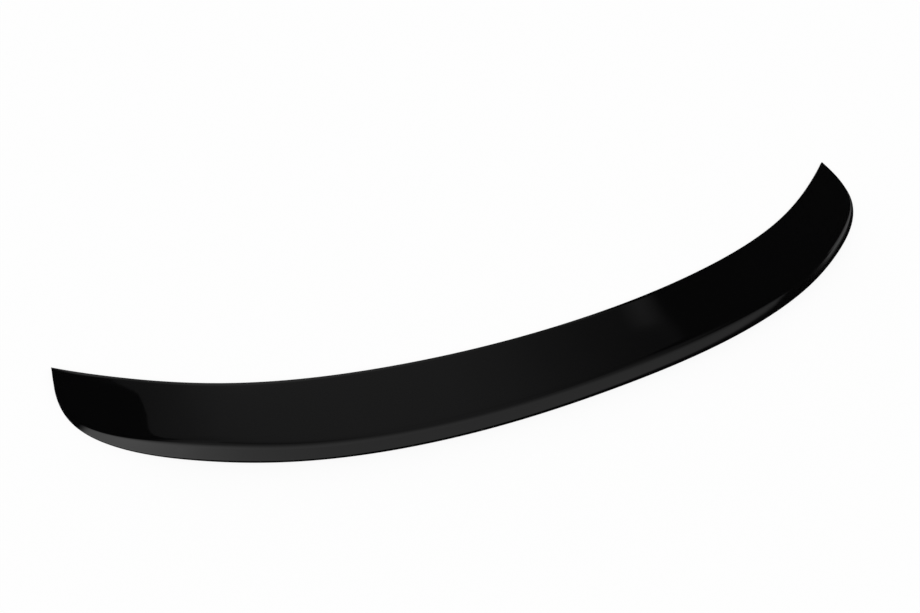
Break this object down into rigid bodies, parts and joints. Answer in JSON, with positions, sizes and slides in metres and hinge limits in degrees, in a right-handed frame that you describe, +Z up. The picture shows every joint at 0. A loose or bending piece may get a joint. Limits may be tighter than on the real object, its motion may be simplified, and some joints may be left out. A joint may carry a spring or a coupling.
{
  "type": "car boot lip spoiler",
  "caption": "Crescent-shaped lip spoiler for the rear edge of a car boot lid, with a thin front edge, rounded crest, leaning rear wall and ribbed hollow underside.",
  "frame": {"origin": "on the bonding face, under the middle of the part's box", "axes": "+X across the car to the right seen from behind, +Y to the car's front, +Z up from the bonding face"},
  "size_m": [1.08, 0.2345, 0.0179],
  "materials": {
    "gloss_black": "gloss black moulded plastic"
  },
  "bodies": {
    "root": {"lip_spoiler": "gloss_black"}
  },
  "joints": []
}
